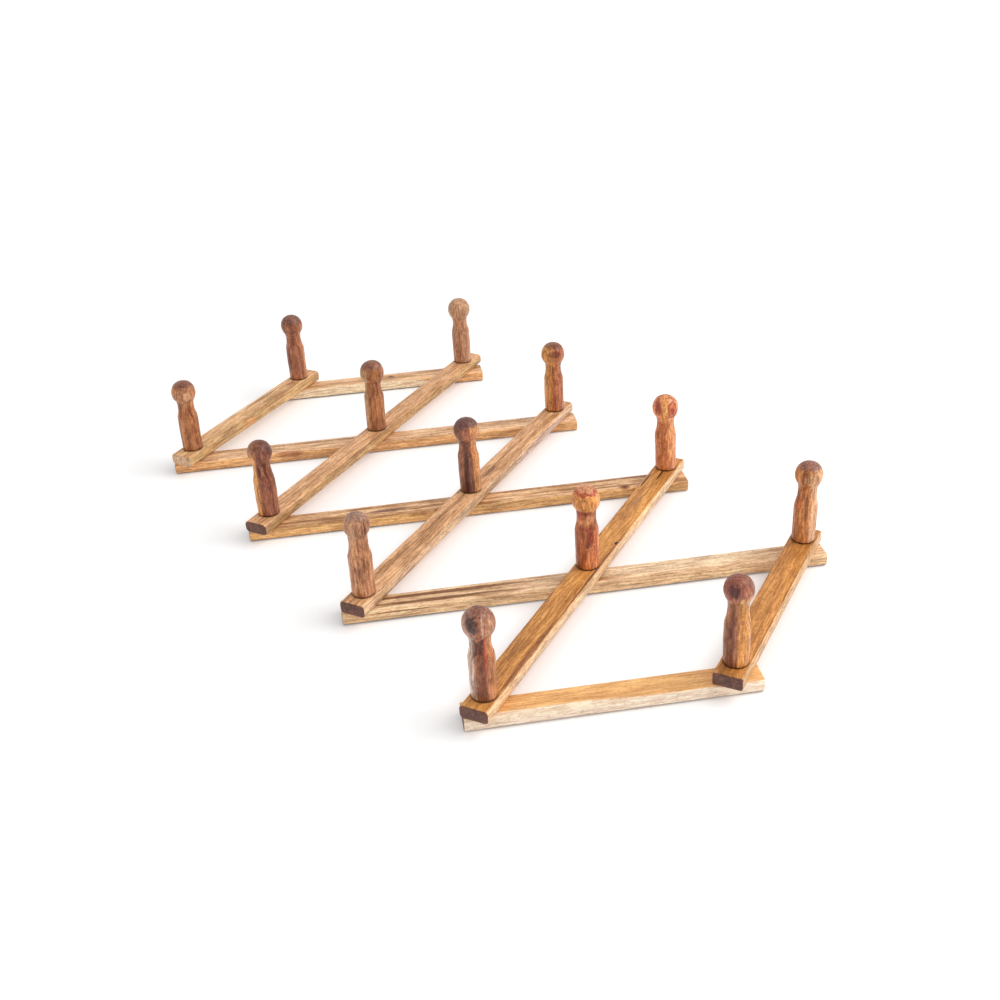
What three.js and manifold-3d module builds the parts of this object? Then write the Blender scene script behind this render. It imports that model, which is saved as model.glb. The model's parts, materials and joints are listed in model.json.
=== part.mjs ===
// Expanding accordion peg rack: two layers of slats pinned into a row of four diamonds, with a
// turned peg standing on every pivot. It lies on its back, pegs up. Millimetres, +Z up.
// X runs along the row of diamonds, and the origin is under the middle peg, on the resting plane.

import * as THREE from 'three';
import { mergeVertices } from 'three/addons/utils/BufferGeometryUtils.js';
import Module from 'manifold-3d';

const wasm = await Module();
wasm.setup();

// ---------------------------------------------------------------- driving dimensions

const PIVOT_SPACING = 160;      // between neighbouring pivots along a slat
const FOLD_ANGLE = 54.4;        // degrees between a rear slat and a front slat, as shown
const LAYER_GAP = 0.3;          // air between the two layers, and between any two pieces

const SLAT = {
  width: 20,
  thickness: 9.7,
  overhang: 17,                 // wood past the last pivot, sawn square
  edgeRadius: 2.6,              // round along the four long edges
  edgeSteps: 4,
};

const PEG = {
  footRadius: 8,
  shoulderRadius: 8.3,
  shoulderHeight: 29.5,         // heights are above the peg's foot
  neckRadius: 6.35,
  neckHeight: 41,
  headRadius: 10,
  headHeight: 53.6,             // centre of the ball
  headJoin: -0.82,              // radians above the ball's middle, where the cove meets it
  footEase: 0.6,
  shoulderPull: 3.6,            // how gently the shoulder, neck and join turn
  neckPull: 5.5,
  joinPull: 1.4,
  coveSteps: 4,
  ballSteps: 5,
  segments: 16,
};

const TENON_RADIUS = 4;
const PIVOT_HOLE_RADIUS = 4.4;  // in both slats, round the tenon
const COUNTERBORE = { radius: 6.3, depth: 4.5 };
const WASHER = { radius: 5.5, hole: 2.1, thickness: 1, segments: 16 };
const SCREW = {
  headRadius: 3.5,
  crownRadius: 2.4,
  headHeight: 2.1,
  shankRadius: 1.75,
  tipLength: 3,
  length: 16,                   // under the head
  slotWidth: 1,
  slotLength: 4.2,
  slotDepth: 1,
  segments: 12,
};
const PILOT = { radius: 2.05, extraDepth: 1 };

const HOLE_SEGMENTS = 20;
const CUT_MARGIN = 1;           // how far a cutter runs past the face it cuts

// ---------------------------------------------------------------- heights above the resting plane

const REAR_TOP = SLAT.thickness;
const FRONT_BOTTOM = REAR_TOP + LAYER_GAP;
const FRONT_TOP = FRONT_BOTTOM + SLAT.thickness;
const PEG_FOOT = FRONT_TOP + LAYER_GAP;
const TENON_END = COUNTERBORE.depth - LAYER_GAP;
const WASHER_TOP = TENON_END - LAYER_GAP;
const SCREW_SEAT = WASHER_TOP - WASHER.thickness - LAYER_GAP;

// ---------------------------------------------------------------- the lattice

// Pivot [u, v] stands u steps along the rear slats' direction and v steps along the front slats'.
// A front slat keeps one u and a rear slat keeps one v. Pegs are numbered by the slats they pin.
const PIVOTS = {
  1: [-2, 1], 2: [-2, 2], 3: [-1, 2], 4: [-1, 1], 5: [-1, 0], 6: [0, 1], 7: [0, 0],
  8: [0, -1], 9: [1, 0], 10: [1, -1], 11: [1, -2], 12: [2, -1], 13: [2, -2],
};
const FRONT_SLATS = {
  front_slat_1: [1, 2],
  front_slat_2: [5, 4, 3],
  front_slat_3: [8, 7, 6],
  front_slat_4: [11, 10, 9],
  front_slat_5: [13, 12],
};
const REAR_SLATS = {
  rear_slat_1: [2, 3],
  rear_slat_2: [1, 4, 6],
  rear_slat_3: [5, 7, 9],
  rear_slat_4: [8, 10, 12],
  rear_slat_5: [11, 13],
};

const REAR_TURN = THREE.MathUtils.degToRad(90 - FOLD_ANGLE / 2);
const FRONT_TURN = THREE.MathUtils.degToRad(90 + FOLD_ANGLE / 2);
const alongRear = new THREE.Vector2(Math.cos(REAR_TURN), Math.sin(REAR_TURN));
const alongFront = new THREE.Vector2(Math.cos(FRONT_TURN), Math.sin(FRONT_TURN));

function pivotPlace(number) {
  const [u, v] = PIVOTS[number];
  const place = new THREE.Vector2();
  place.addScaledVector(alongRear, u * PIVOT_SPACING);
  place.addScaledVector(alongFront, v * PIVOT_SPACING);
  return place;
}

// ---------------------------------------------------------------- solids

function toManifold(geometry) {
  const bare = geometry.clone();
  bare.deleteAttribute('normal');
  bare.deleteAttribute('uv');
  const welded = mergeVertices(bare, 1e-5);
  return new wasm.Manifold(new wasm.Mesh({
    numProp: 3,
    vertProperties: new Float32Array(welded.attributes.position.array),
    triVerts: new Uint32Array(welded.index.array),
  }));
}

function toGeometry(solid) {
  const mesh = solid.getMesh();
  const geometry = new THREE.BufferGeometry();
  geometry.setAttribute('position', new THREE.BufferAttribute(mesh.vertProperties, 3));
  geometry.setIndex(new THREE.BufferAttribute(mesh.triVerts, 1));
  geometry.computeVertexNormals();
  return geometry;
}

function boredRing(radius, bottom, top, segments) {
  const cutter = new THREE.CylinderGeometry(radius, radius, top - bottom, segments);
  cutter.rotateX(Math.PI / 2);
  cutter.translate(0, 0, (top + bottom) / 2);
  return cutter;
}

function turnedSolid(profile, segments) {
  const geometry = new THREE.LatheGeometry(profile, segments);
  geometry.rotateX(Math.PI / 2);
  return geometry;
}

// ---------------------------------------------------------------- slats

// Outline of the slat's section, across its width and thickness, with round corners.
function slatSection() {
  const { width, thickness, edgeRadius, edgeSteps } = SLAT;
  const section = [];
  const corners = [
    [width / 2 - edgeRadius, edgeRadius, -90],
    [width / 2 - edgeRadius, thickness - edgeRadius, 0],
    [edgeRadius - width / 2, thickness - edgeRadius, 90],
    [edgeRadius - width / 2, edgeRadius, 180],
  ];
  for (const [across, up, start] of corners) {
    for (let step = 0; step <= edgeSteps; step += 1) {
      const angle = THREE.MathUtils.degToRad(start + (90 * step) / edgeSteps);
      const x = across + edgeRadius * Math.cos(angle);
      const y = up + edgeRadius * Math.sin(angle);
      section.push(new THREE.Vector2(x, y));
    }
  }
  return new THREE.Shape(section);
}

// A slat along X with its first pivot at the origin and its back face at z = 0.
function slatGeometry(pivotCount, isRear) {
  const start = -SLAT.overhang;
  const end = (pivotCount - 1) * PIVOT_SPACING + SLAT.overhang;
  const bar = new THREE.ExtrudeGeometry(slatSection(), { depth: end - start, bevelEnabled: false });
  bar.rotateX(Math.PI / 2);
  bar.rotateZ(Math.PI / 2);
  bar.translate(start, 0, 0);
  let solid = toManifold(bar);
  for (let hole = 0; hole < pivotCount; hole += 1) {
    const top = SLAT.thickness + CUT_MARGIN;
    const bore = boredRing(PIVOT_HOLE_RADIUS, -CUT_MARGIN, top, HOLE_SEGMENTS);
    bore.translate(hole * PIVOT_SPACING, 0, 0);
    solid = solid.subtract(toManifold(bore));
    if (isRear) {
      const pocket = boredRing(COUNTERBORE.radius, -CUT_MARGIN, COUNTERBORE.depth, HOLE_SEGMENTS);
      pocket.translate(hole * PIVOT_SPACING, 0, 0);
      solid = solid.subtract(toManifold(pocket));
    }
  }
  return toGeometry(solid);
}

// ---------------------------------------------------------------- pegs and their fixings

// Profile of a peg from the end of its tenon up to the crown of its ball, radius against height.
function pegProfile() {
  const point = (radius, height) => new THREE.Vector2(radius, height);
  const shoulder = PEG_FOOT + PEG.shoulderHeight;
  const neck = PEG_FOOT + PEG.neckHeight;
  const head = PEG_FOOT + PEG.headHeight;
  const profile = [
    point(0, TENON_END),
    point(TENON_RADIUS, TENON_END),
    point(TENON_RADIUS, PEG_FOOT),
    point(PEG.footRadius - PEG.footEase, PEG_FOOT),
    point(PEG.footRadius, PEG_FOOT + PEG.footEase),
  ];
  const joinRadius = PEG.headRadius * Math.cos(PEG.headJoin);
  const joinHeight = head + PEG.headRadius * Math.sin(PEG.headJoin);
  const cove = new THREE.Path();
  const shoulderEnd = [PEG.shoulderRadius, shoulder + PEG.shoulderPull];
  const neckStart = [PEG.neckRadius, neck - PEG.neckPull];
  cove.moveTo(PEG.shoulderRadius, shoulder);
  cove.bezierCurveTo(...shoulderEnd, ...neckStart, PEG.neckRadius, neck);
  cove.quadraticCurveTo(PEG.neckRadius, joinHeight - PEG.joinPull, joinRadius, joinHeight);
  profile.push(...cove.getPoints(PEG.coveSteps));
  for (let step = 1; step <= PEG.ballSteps; step += 1) {
    const angle = PEG.headJoin + ((Math.PI / 2 - PEG.headJoin) * step) / PEG.ballSteps;
    const radius = step === PEG.ballSteps ? 0 : PEG.headRadius * Math.cos(angle);
    profile.push(point(radius, head + PEG.headRadius * Math.sin(angle)));
  }
  return profile;
}

function pegGeometry() {
  const turned = toManifold(turnedSolid(pegProfile(), PEG.segments));
  const pilotTop = SCREW_SEAT + SCREW.length + PILOT.extraDepth;
  const pilot = boredRing(PILOT.radius, TENON_END - CUT_MARGIN, pilotTop, SCREW.segments);
  return toGeometry(turned.subtract(toManifold(pilot)));
}

function washerGeometry() {
  const bottom = WASHER_TOP - WASHER.thickness;
  const profile = [
    new THREE.Vector2(WASHER.hole, bottom),
    new THREE.Vector2(WASHER.radius, bottom),
    new THREE.Vector2(WASHER.radius, WASHER_TOP),
    new THREE.Vector2(WASHER.hole, WASHER_TOP),
    new THREE.Vector2(WASHER.hole, bottom),
  ];
  return turnedSolid(profile, WASHER.segments);
}

// A pan-head wood screw, head down, driven up through the washer into the tenon.
function screwGeometry() {
  const headBottom = SCREW_SEAT - SCREW.headHeight;
  const tip = SCREW_SEAT + SCREW.length;
  const profile = [
    new THREE.Vector2(0, headBottom),
    new THREE.Vector2(SCREW.crownRadius, headBottom),
    new THREE.Vector2(SCREW.headRadius, headBottom + SCREW.headHeight / 2),
    new THREE.Vector2(SCREW.headRadius, SCREW_SEAT),
    new THREE.Vector2(SCREW.shankRadius, SCREW_SEAT),
    new THREE.Vector2(SCREW.shankRadius, tip - SCREW.tipLength),
    new THREE.Vector2(0, tip),
  ];
  let solid = toManifold(turnedSolid(profile, SCREW.segments));
  for (const turn of [0, Math.PI / 2]) {
    const depth = SCREW.slotDepth + CUT_MARGIN;
    const slot = new THREE.BoxGeometry(SCREW.slotLength, SCREW.slotWidth, depth);
    slot.rotateZ(turn);
    slot.translate(0, 0, headBottom + SCREW.slotDepth - depth / 2);
    solid = solid.subtract(toManifold(slot));
  }
  return toGeometry(solid);
}

// ---------------------------------------------------------------- finishes

function wood(colour) {
  return new THREE.MeshStandardMaterial({ color: colour, roughness: 0.5, metalness: 0 });
}

const SLAT_COLOURS = {
  front_slat_1: 0xb98b5c, front_slat_2: 0xb78655, front_slat_3: 0xb58458,
  front_slat_4: 0xb9773f, front_slat_5: 0xb9733a,
  rear_slat_1: 0xc29a69, rear_slat_2: 0xb17f4e, rear_slat_3: 0xa9764a,
  rear_slat_4: 0xc09561, rear_slat_5: 0xb9824a,
};
const PEG_COLOURS = {
  1: 0x8f4f31, 2: 0x7c3f28, 3: 0xb98560, 4: 0x7d4429, 5: 0x6b3a22, 6: 0xa0562c, 7: 0x55301f,
  8: 0x8a6a58, 9: 0xa96a3c, 10: 0xa65a30, 11: 0x7a4529, 12: 0xa6683a, 13: 0x9a6640,
};
const STEEL_COLOUR = 0xb9bab8;

function steel() {
  return new THREE.MeshStandardMaterial({ color: STEEL_COLOUR, roughness: 0.35, metalness: 1 });
}

// ---------------------------------------------------------------- assembly

const rack = new THREE.Group();

function placeSlats(slats, turn, bottom, isRear) {
  for (const [name, pivots] of Object.entries(slats)) {
    const slat = new THREE.Mesh(slatGeometry(pivots.length, isRear), wood(SLAT_COLOURS[name]));
    const first = pivotPlace(pivots[0]);
    slat.name = name;
    slat.rotation.z = turn;
    slat.position.set(first.x, first.y, bottom);
    rack.add(slat);
  }
}

function placeAtPivot(geometry, material, name, number) {
  const piece = new THREE.Mesh(geometry, material);
  const place = pivotPlace(number);
  piece.name = `${name}_${number}`;
  piece.rotation.z = FRONT_TURN;
  piece.position.set(place.x, place.y, 0);
  rack.add(piece);
}

placeSlats(REAR_SLATS, REAR_TURN, 0, true);
placeSlats(FRONT_SLATS, FRONT_TURN, FRONT_BOTTOM, false);

const peg = pegGeometry();
const washer = washerGeometry();
const screw = screwGeometry();
for (const number of Object.keys(PIVOTS)) {
  placeAtPivot(peg, wood(PEG_COLOURS[number]), 'peg', number);
  placeAtPivot(washer, steel(), 'washer', number);
  placeAtPivot(screw, steel(), 'screw', number);
}

export default rack;
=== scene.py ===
"""An expanding accordion peg rack of oiled wood, lying on its back on a pale studio floor."""

import json
import logging
import math
import random
from collections.abc import Callable
from dataclasses import dataclass, replace
from enum import Enum
from typing import ClassVar

import bmesh
import bpy
from mathutils import Matrix, Quaternion, Vector


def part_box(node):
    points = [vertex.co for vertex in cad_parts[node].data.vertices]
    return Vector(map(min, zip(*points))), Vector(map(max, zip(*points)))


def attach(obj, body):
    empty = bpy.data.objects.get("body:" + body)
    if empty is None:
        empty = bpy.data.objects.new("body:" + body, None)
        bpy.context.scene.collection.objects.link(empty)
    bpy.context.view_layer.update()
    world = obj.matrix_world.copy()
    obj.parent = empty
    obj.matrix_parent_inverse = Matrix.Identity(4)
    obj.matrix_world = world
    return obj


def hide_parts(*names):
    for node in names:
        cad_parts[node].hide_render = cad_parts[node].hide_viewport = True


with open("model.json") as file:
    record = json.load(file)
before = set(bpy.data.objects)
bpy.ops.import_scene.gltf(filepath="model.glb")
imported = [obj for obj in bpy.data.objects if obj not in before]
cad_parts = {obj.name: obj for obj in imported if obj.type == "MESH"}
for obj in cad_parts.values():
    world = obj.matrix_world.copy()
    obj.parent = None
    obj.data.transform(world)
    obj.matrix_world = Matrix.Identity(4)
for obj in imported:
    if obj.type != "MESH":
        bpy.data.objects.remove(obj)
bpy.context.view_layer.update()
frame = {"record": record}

log = logging.getLogger("peg_rack")

MM = 0.001

Colour = tuple[float, float, float]
Triple = tuple[float, float, float]
Socket = bpy.types.NodeSocket


def steps(count: int) -> tuple[float, ...]:
    """The shares of a way walked in equal steps, up to the whole of it."""
    return tuple(step / count for step in range(1, count + 1))


# ---------------------------------------------------------------- marks and finishes


@dataclass(frozen=True, kw_only=True)
class Mark:
    """One feature of the figure, in millimetres along the grain, across it and through it."""

    soft: float = 0.5
    wander: float = 0.6
    strength: float = 1.0
    figure: float = 0.35


@dataclass(frozen=True)
class Patch(Mark):
    """An egg-shaped stretch of another colour; a knot is one with rings round its middle."""

    centre: Triple
    reach: Triple
    colour: Colour
    ring_colour: Colour | None = None
    rings: float = 0.0


@dataclass(frozen=True)
class Split(Mark):
    """Everything past a plane that lies an offset out along its side, such as sapwood."""

    side: Triple
    offset: float
    colour: Colour


@dataclass(frozen=True)
class WoodFinish:
    """Oiled wood with its own colours, growth rings and marks.

    The ring centre is across the grain and through it, in millimetres, and the tilt is how many
    millimetres the rings run out across and through for each millimetre along the piece.
    """

    light: Colour
    dark: Colour
    ring_gap: float = 3.2
    ring_centre: tuple[float, float] = (14.0, -30.0)
    ring_strength: float = 0.45
    streak_strength: float = 0.62
    mottle: float = 0.45
    tilt: tuple[float, float] = (0.0, 0.0)
    wander: float = 5.0
    shortness: float = 1.0
    grain_depth: float = 0.60
    gloss: float = 0.42
    specular: float = 0.32
    bump: float = 0.40
    bump_depth: float = 0.10 * MM
    marks: tuple[Mark, ...] = ()

    def with_marks(self, *more: Mark) -> "WoodFinish":
        """The same wood with further marks on top."""
        return replace(self, marks=self.marks + more)


@dataclass(frozen=True)
class SteelFinish:
    """Zinc-plated steel with fine drawn lines and a dull bloom."""

    dull: Colour = (0.52, 0.51, 0.48)
    bright: Colour = (0.74, 0.73, 0.70)
    bloom: Triple = (600.0, 600.0, 600.0)
    lines: Triple = (9000.0, 9000.0, 500.0)
    smoothest: float = 0.28
    roughest: float = 0.46
    bump: float = 0.2
    bump_depth: float = 0.03 * MM


@dataclass(frozen=True)
class Grain:
    """One kind of noise drawn out along the grain, as waves per millimetre and a soft cut-off."""

    name: str
    along: float
    across: float
    detail: float
    low: float
    high: float

    @property
    def spread(self) -> Triple:
        """Its waves per millimetre along, across and through the grain."""
        return (self.along, self.across, self.across)


GRAINS = (
    Grain("Streaks", 0.010, 0.27, 4.0, 0.42, 0.58),
    Grain("Mottle", 0.035, 0.10, 2.0, 0.36, 0.64),
    Grain("Fibre", 0.065, 0.70, 3.0, 0.38, 0.62),
    Grain("Flecks", 0.30, 1.05, 2.0, 0.53, 0.64),
)


def shaded(colour: Colour, amount: float) -> Colour:
    """A colour made lighter or darker, kept below white."""
    return tuple(min(0.98, channel * amount) for channel in colour)


# ---------------------------------------------------------------- shader nodes


class NodeSheet:
    """Places and joins shader nodes in one tree."""

    def __init__(self, tree: bpy.types.NodeTree) -> None:
        """Empties the tree, of a material or a node group, and keeps it."""
        self.tree = tree
        tree.nodes.clear()

    def add(self, kind: str, **settings: object) -> bpy.types.Node:
        """Adds a node and sets its properties.

        Args:
            kind: the node's type name.
            **settings: properties to set on it.

        Returns:
            The new node.
        """
        node = self.tree.nodes.new(kind)
        for name, value in settings.items():
            setattr(node, name, value)
        node.location = (len(self.tree.nodes) * 60, -(len(self.tree.nodes) % 6) * 140)
        return node

    def feed(self, socket: Socket, value: object) -> None:
        """Joins a socket to another, or sets its value.

        Args:
            socket: the input to feed.
            value: an output socket, a number or a tuple.
        """
        if isinstance(value, Socket):
            self.tree.links.new(value, socket)
        elif isinstance(value, tuple) and len(value) == 3 and socket.type == "RGBA":
            socket.default_value = (*value, 1.0)
        else:
            socket.default_value = value

    def fill(self, node: bpy.types.Node, values: dict[str, object]) -> None:
        """Feeds several inputs of a node by their names."""
        for name, value in values.items():
            self.feed(node.inputs[name], value)

    def math(self, operation: str, *values: object, clamp: bool = False) -> Socket:
        """Adds a Math node over the given values and returns its output.

        Args:
            operation: the sum to do.
            values: what it works on, as numbers or sockets.
            clamp: whether the answer is kept within 0..1.

        Returns:
            The answer.
        """
        node = self.add("ShaderNodeMath", operation=operation, use_clamp=clamp)
        for socket, value in zip(node.inputs, values):
            self.feed(socket, value)
        return node.outputs[0]

    def vector(self, operation: str, *values: object) -> Socket:
        """Adds a Vector Math node and returns its vector, or its number for a length or dot.

        Args:
            operation: the sum to do.
            values: what it works on, as vectors or sockets.

        Returns:
            The answer.
        """
        node = self.add("ShaderNodeVectorMath", operation=operation)
        for socket, value in zip(node.inputs, values):
            self.feed(socket, value)
        return node.outputs["Value" if operation in ("LENGTH", "DOT_PRODUCT") else "Vector"]

    def scaled(self, value: object, factor: object) -> Socket:
        """Multiplies a vector by one number.

        Args:
            value: the vector.
            factor: the number, or a socket that gives it.

        Returns:
            The longer or shorter vector.
        """
        node = self.add("ShaderNodeVectorMath", operation="SCALE")
        self.fill(node, {"Vector": value, "Scale": factor})
        return node.outputs["Vector"]

    def noise(self, point: object, spread: Triple, detail: float,
              roughness: float) -> bpy.types.Node:
        """Adds a Noise node with its waves spread along each axis.

        Args:
            point: the place to sample.
            spread: waves for each unit of length along the three axes.
            detail: how many finer layers it has.
            roughness: how strong they are.

        Returns:
            The Noise node.
        """
        node = self.add("ShaderNodeTexNoise")
        self.fill(node, {"Vector": self.vector("MULTIPLY", point, spread), "Scale": 1.0,
                         "Detail": detail, "Roughness": roughness})
        return node

    def ramp(self, value: object, low: object, high: object, start: float = 0.0,
             end: float = 1.0, easing: str = "SMOOTHSTEP") -> Socket:
        """Adds a Map Range from low..high to start..end and returns its output.

        Args:
            value: what is mapped.
            low: where the ramp starts.
            high: where it ends.
            start: the answer up to low.
            end: the answer from high on.
            easing: how it goes between the two.

        Returns:
            The answer.
        """
        node = self.add("ShaderNodeMapRange", interpolation_type=easing)
        self.fill(node, {"Value": value, "From Min": low, "From Max": high, "To Min": start,
                         "To Max": end})
        return node.outputs["Result"]

    def mix(self, factor: object, under: object, over: object, blend: str = "MIX") -> Socket:
        """Adds a colour Mix node and returns its colour.

        Args:
            factor: how much of the upper colour shows.
            under: the lower colour.
            over: the upper colour.
            blend: how the two are put together.

        Returns:
            The mixed colour.
        """
        node = self.add("ShaderNodeMix", data_type="RGBA", blend_type=blend)
        colours = [socket for socket in node.inputs if socket.type == "RGBA"]
        for socket, value in zip((node.inputs[0], *colours), (factor, under, over)):
            self.feed(socket, value)
        return next(socket for socket in node.outputs if socket.type == "RGBA")

    def group(self, tree: bpy.types.NodeTree, **values: object) -> bpy.types.Node:
        """Places a node group and feeds its inputs, named with underscores for spaces.

        Args:
            tree: the group.
            **values: what each input takes.

        Returns:
            The group's node.
        """
        node = self.add("ShaderNodeGroup", node_tree=tree)
        self.fill(node, {name.replace("_", " ").title(): value for name, value in values.items()})
        return node

    def emboss(self, shader: bpy.types.Node, height: Socket, strength: float,
               depth: float) -> None:
        """Raises a shader's surface by a height.

        Args:
            shader: the Principled node.
            height: the height, from zero to one.
            strength: how much of it shows.
            depth: what a height of one comes to, in metres.
        """
        bump = self.add("ShaderNodeBump")
        self.fill(bump, {"Strength": strength, "Distance": depth, "Height": height})
        self.feed(shader.inputs["Normal"], bump.outputs["Normal"])


def blank_material(name: str) -> tuple[bpy.types.Material, NodeSheet, bpy.types.Node]:
    """Starts a material with one Principled surface.

    Args:
        name: the material's name.

    Returns:
        The material, its sheet and the Principled node.
    """
    material = bpy.data.materials.new(name)
    material.use_nodes = True
    sheet = NodeSheet(material.node_tree)
    shader = sheet.add("ShaderNodeBsdfPrincipled")
    sheet.feed(sheet.add("ShaderNodeOutputMaterial").inputs["Surface"], shader.outputs["BSDF"])
    return material, sheet, shader


class GroupShop:
    """Builds each shared shader node group once."""

    SEED_STEP: Triple = (17.3, 5.7, 11.1)
    ROUGHNESS = 0.64
    BEND: Triple = (0.014, 0.085, 0.085)
    DARKENING = 1.6
    LATE_EDGE = 0.84
    PALEST_YEAR = 0.30
    YEAR_RANGE = 0.85
    STRAY: Triple = (0.045, 0.30, 0.30)
    STRAY_REACH: Triple = (8.0, 2.0, 2.0)
    SOAKED: Colour = (0.60, 0.47, 0.38)
    BRIGHT: Colour = (1.28, 1.34, 1.38)
    PORE: Colour = (0.50, 0.37, 0.28)
    WHITEST: Colour = (0.96, 0.96, 0.96)
    PORE_ROUGHNESS = 0.18
    FIBRE_ROUGHNESS = -0.06
    PORE_HEIGHT = -0.7
    FIBRE_HEIGHT = 0.3

    def __init__(self) -> None:
        """Builds the groups that every wooden piece uses."""
        self.figure = self.build_figure()
        self.patch = self.build_patch()
        self.split = self.build_split()
        self.oil = self.build_oil()

    @staticmethod
    def open(name: str, inputs: dict[str, str], outputs: dict[str, str]) -> tuple[
            NodeSheet, bpy.types.NodeOutputs, bpy.types.NodeInputs]:
        """Starts a node group with its sockets.

        Args:
            name: the group's name.
            inputs: socket name to kind: Float, Vector or Color.
            outputs: the same for what it puts out.

        Returns:
            The sheet, the sockets that bring values in and those that take them out.
        """
        tree = bpy.data.node_groups.new(name, "ShaderNodeTree")
        for names, side in ((inputs, "INPUT"), (outputs, "OUTPUT")):
            for label, kind in names.items():
                tree.interface.new_socket(label, in_out=side, socket_type=f"NodeSocket{kind}")
        sheet = NodeSheet(tree)
        given, made = sheet.add("NodeGroupInput"), sheet.add("NodeGroupOutput")
        return sheet, given.outputs, made.inputs

    def build_figure(self) -> bpy.types.NodeTree:
        """Growth rings and every kind of grain, running along X."""
        sheet, given, made = self.open(
            "wood_figure",
            {"Point": "Vector", "Seed": "Float", "Ring Centre": "Vector", "Ring Gap": "Float",
             "Wander": "Float", "Tilt": "Vector", "Stretch": "Vector"},
            {name: "Float" for name in ("Rings", *(grain.name for grain in GRAINS))},
        )
        point, seed = given["Point"], given["Seed"]
        place = sheet.vector("ADD", point, sheet.scaled(self.SEED_STEP, seed))
        place = sheet.vector("MULTIPLY", place, given["Stretch"])

        along = sheet.vector("DOT_PRODUCT", point, (1.0, 0.0, 0.0))
        leaned = sheet.vector("ADD", point, sheet.scaled(given["Tilt"], along))
        bend = sheet.noise(place, self.BEND, 3.0, 0.55)
        bend = sheet.math("MULTIPLY", sheet.math("SUBTRACT", bend.outputs["Fac"], 0.5),
                          given["Wander"])
        out = sheet.vector("SUBTRACT", leaned, given["Ring Centre"])
        radius = sheet.vector("LENGTH", sheet.vector("MULTIPLY", out, (0.0, 1.0, 1.0)))
        turns = sheet.math("DIVIDE", sheet.math("ADD", radius, bend), given["Ring Gap"])
        phase = sheet.math("FRACT", turns)
        year = sheet.add("ShaderNodeTexWhiteNoise", noise_dimensions="1D")
        sheet.feed(year.inputs["W"], sheet.math("ADD", sheet.math("FLOOR", turns), seed))
        weight = sheet.math("MULTIPLY_ADD", year.outputs["Value"], self.YEAR_RANGE,
                            self.PALEST_YEAR)
        rise = sheet.math("POWER", phase, self.DARKENING)
        fall = sheet.ramp(phase, self.LATE_EDGE, 1.0, 1.0, 0.0)
        rings = sheet.math("MULTIPLY", sheet.math("MULTIPLY", rise, fall), weight)
        sheet.feed(made["Rings"], rings)
        for grain in GRAINS:
            noise = sheet.noise(place, grain.spread, grain.detail, self.ROUGHNESS)
            sheet.feed(made[grain.name], sheet.ramp(noise.outputs["Fac"], grain.low, grain.high))
        return sheet.tree

    def strayed(self, sheet: NodeSheet, given: bpy.types.NodeOutputs) -> Socket:
        """Moves the point a little by noise that is drawn out along the grain.

        Args:
            sheet: the sheet of the group.
            given: the group's own inputs.

        Returns:
            The moved point.
        """
        drift = sheet.noise(given["Point"], self.STRAY, 2.0, 0.55).outputs["Color"]
        drift = sheet.vector("SUBTRACT", drift, (0.5, 0.5, 0.5))
        drift = sheet.vector("MULTIPLY", drift, self.STRAY_REACH)
        return sheet.vector("ADD", given["Point"], sheet.scaled(drift, given["Wander"]))

    def build_patch(self) -> bpy.types.NodeTree:
        """The mask of an egg-shaped stretch of wood, and the waves of rings round its middle."""
        sheet, given, made = self.open(
            "wood_patch",
            {"Point": "Vector", "Centre": "Vector", "Reach": "Vector", "Soft": "Float",
             "Wander": "Float", "Rings": "Float"},
            {"Mask": "Float", "Swirl": "Float"},
        )
        away = sheet.vector("SUBTRACT", self.strayed(sheet, given), given["Centre"])
        distance = sheet.vector("LENGTH", sheet.vector("DIVIDE", away, given["Reach"]))
        inner = sheet.math("SUBTRACT", 1.0, given["Soft"])
        sheet.feed(made["Mask"], sheet.ramp(distance, inner, 1.0, 1.0, 0.0))
        turns = sheet.math("MULTIPLY", sheet.math("MULTIPLY", distance, given["Rings"]), math.tau)
        wave = sheet.math("MULTIPLY_ADD", sheet.math("SINE", turns), 0.5, 0.5)
        sheet.feed(made["Swirl"], wave)
        return sheet.tree

    def build_split(self) -> bpy.types.NodeTree:
        """The mask of all the wood past a plane."""
        sheet, given, made = self.open(
            "wood_split",
            {"Point": "Vector", "Side": "Vector", "Offset": "Float", "Soft": "Float",
             "Wander": "Float"},
            {"Mask": "Float"},
        )
        along = sheet.vector("DOT_PRODUCT", self.strayed(sheet, given), given["Side"])
        past = sheet.math("SUBTRACT", along, given["Offset"])
        low = sheet.math("MULTIPLY", given["Soft"], -1.0)
        sheet.feed(made["Mask"], sheet.ramp(past, low, given["Soft"]))
        return sheet.tree

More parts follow.
